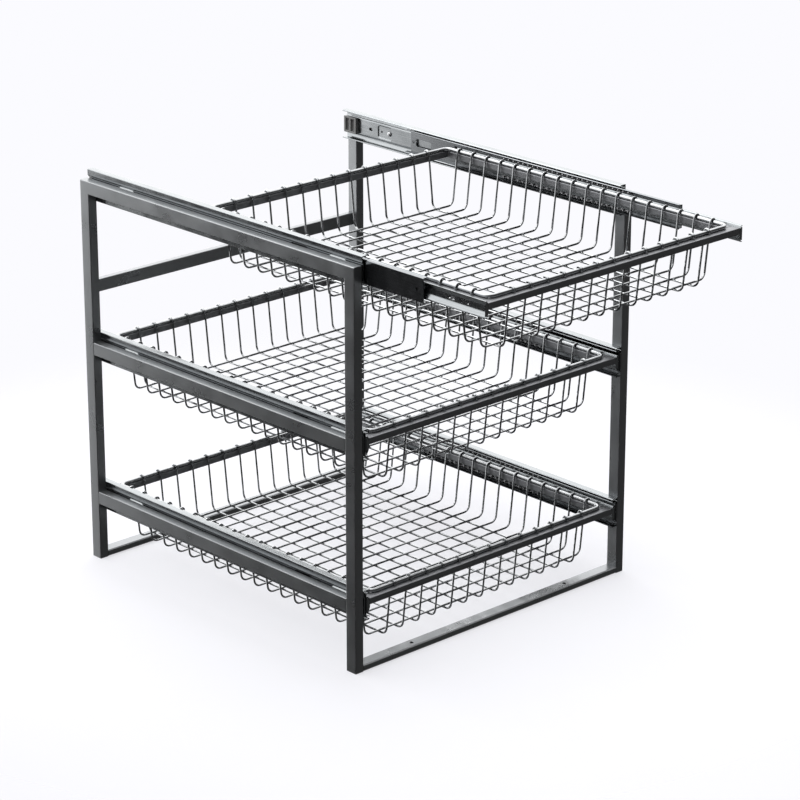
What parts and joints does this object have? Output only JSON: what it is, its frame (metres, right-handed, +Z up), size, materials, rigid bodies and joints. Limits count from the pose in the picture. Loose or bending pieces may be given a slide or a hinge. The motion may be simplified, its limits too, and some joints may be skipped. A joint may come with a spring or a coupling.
{
  "type": "pull out larder unit",
  "caption": "Open steel frame for a kitchen cabinet, with wire basket drawers on full-extension ball-bearing slides; the top drawer is partly out.",
  "frame": {"origin": "centre of the rectangle of floor screw holes, on the floor under the frame", "axes": "+X to the right seen from the front, +Y to the back so that the drawers pull out towards -Y, +Z up"},
  "size_m": [0.55, 0.83, 0.613],
  "materials": {
    "frame_paint": "satin metallic grey powder coat",
    "hoop_paint": "satin dark grey powder coat",
    "slide_steel": "bright zinc plate",
    "cage_steel": "bright, with polished balls",
    "screw_steel": "zinc plate",
    "stop_plastic": "matt black",
    "basket_chrome": "bright chrome plate"
  },
  "bodies": {
    "frame": {"left_front_post": "frame_paint", "left_rear_post": "frame_paint", "left_top_rail": "frame_paint", "left_middle_rail": "frame_paint", "left_lower_rail": "frame_paint", "right_front_post": "frame_paint", "right_rear_post": "frame_paint", "right_top_rail": "frame_paint", "right_middle_rail": "frame_paint", "right_lower_rail": "frame_paint", "floor_front_crossbar": "frame_paint", "floor_rear_crossbar": "frame_paint", "back_crossbar": "frame_paint", "top_left_outer_member": "slide_steel", "top_right_outer_member": "slide_steel", "middle_left_outer_member": "slide_steel", "middle_right_outer_member": "slide_steel", "lower_left_outer_member": "slide_steel", "lower_right_outer_member": "slide_steel", "slide_screws": "screw_steel", "rear_stops": "stop_plastic"},
    "top_drawer": {"top_left_inner_member": "slide_steel", "top_right_inner_member": "slide_steel", "top_front_bar": "hoop_paint", "top_rear_bar": "hoop_paint", "top_side_bars": "hoop_paint", "top_rim_rod": "basket_chrome", "top_cross_wires": "basket_chrome", "top_long_wires": "basket_chrome"},
    "top_intermediates": {"top_left_intermediate_member": "slide_steel", "top_right_intermediate_member": "slide_steel"},
    "top_outer_cages": {"top_outer_ball_cages": "cage_steel"},
    "top_inner_cages": {"top_inner_ball_cages": "cage_steel"},
    "middle_drawer": {"middle_left_inner_member": "slide_steel", "middle_right_inner_member": "slide_steel", "middle_front_bar": "hoop_paint", "middle_rear_bar": "hoop_paint", "middle_side_bars": "hoop_paint", "middle_rim_rod": "basket_chrome", "middle_cross_wires": "basket_chrome", "middle_long_wires": "basket_chrome"},
    "middle_intermediates": {"middle_left_intermediate_member": "slide_steel", "middle_right_intermediate_member": "slide_steel"},
    "middle_outer_cages": {"middle_outer_ball_cages": "cage_steel"},
    "middle_inner_cages": {"middle_inner_ball_cages": "cage_steel"},
    "lower_drawer": {"lower_left_inner_member": "slide_steel", "lower_right_inner_member": "slide_steel", "lower_front_bar": "hoop_paint", "lower_rear_bar": "hoop_paint", "lower_side_bars": "hoop_paint", "lower_rim_rod": "basket_chrome", "lower_cross_wires": "basket_chrome", "lower_long_wires": "basket_chrome"},
    "lower_intermediates": {"lower_left_intermediate_member": "slide_steel", "lower_right_intermediate_member": "slide_steel"},
    "lower_outer_cages": {"lower_outer_ball_cages": "cage_steel"},
    "lower_inner_cages": {"lower_inner_ball_cages": "cage_steel"}
  },
  "joints": [
    {"name": "top_slide", "type": "slide", "parent": "frame", "child": "top_drawer", "axis": [0, -1, 0], "range_m": [-0.23, 0.37]},
    {"name": "top_intermediate_slide", "type": "slide", "parent": "frame", "child": "top_intermediates", "axis": [0, -1, 0], "range_m": [-0.115, 0.185]},
    {"name": "top_outer_cage_slide", "type": "slide", "parent": "frame", "child": "top_outer_cages", "axis": [0, -1, 0], "range_m": [-0.0575, 0.0925]},
    {"name": "top_inner_cage_slide", "type": "slide", "parent": "frame", "child": "top_inner_cages", "axis": [0, -1, 0], "range_m": [-0.1725, 0.2775]},
    {"name": "middle_slide", "type": "slide", "parent": "frame", "child": "middle_drawer", "axis": [0, -1, 0], "range_m": [0, 0.6]},
    {"name": "middle_intermediate_slide", "type": "slide", "parent": "frame", "child": "middle_intermediates", "axis": [0, -1, 0], "range_m": [0, 0.3]},
    {"name": "middle_outer_cage_slide", "type": "slide", "parent": "frame", "child": "middle_outer_cages", "axis": [0, -1, 0], "range_m": [0, 0.15]},
    {"name": "middle_inner_cage_slide", "type": "slide", "parent": "frame", "child": "middle_inner_cages", "axis": [0, -1, 0], "range_m": [0, 0.45]},
    {"name": "lower_slide", "type": "slide", "parent": "frame", "child": "lower_drawer", "axis": [0, -1, 0], "range_m": [0, 0.6]},
    {"name": "lower_intermediate_slide", "type": "slide", "parent": "frame", "child": "lower_intermediates", "axis": [0, -1, 0], "range_m": [0, 0.3]},
    {"name": "lower_outer_cage_slide", "type": "slide", "parent": "frame", "child": "lower_outer_cages", "axis": [0, -1, 0], "range_m": [0, 0.15]},
    {"name": "lower_inner_cage_slide", "type": "slide", "parent": "frame", "child": "lower_inner_cages", "axis": [0, -1, 0], "range_m": [0, 0.45]}
  ],
  "couplings": [
    {"joint": "top_intermediate_slide", "follows": "top_slide", "ratio": 0.5},
    {"joint": "top_outer_cage_slide", "follows": "top_slide", "ratio": 0.25},
    {"joint": "top_inner_cage_slide", "follows": "top_slide", "ratio": 0.75},
    {"joint": "middle_intermediate_slide", "follows": "middle_slide", "ratio": 0.5},
    {"joint": "middle_outer_cage_slide", "follows": "middle_slide", "ratio": 0.25},
    {"joint": "middle_inner_cage_slide", "follows": "middle_slide", "ratio": 0.75},
    {"joint": "lower_intermediate_slide", "follows": "lower_slide", "ratio": 0.5},
    {"joint": "lower_outer_cage_slide", "follows": "lower_slide", "ratio": 0.25},
    {"joint": "lower_inner_cage_slide", "follows": "lower_slide", "ratio": 0.75}
  ]
}
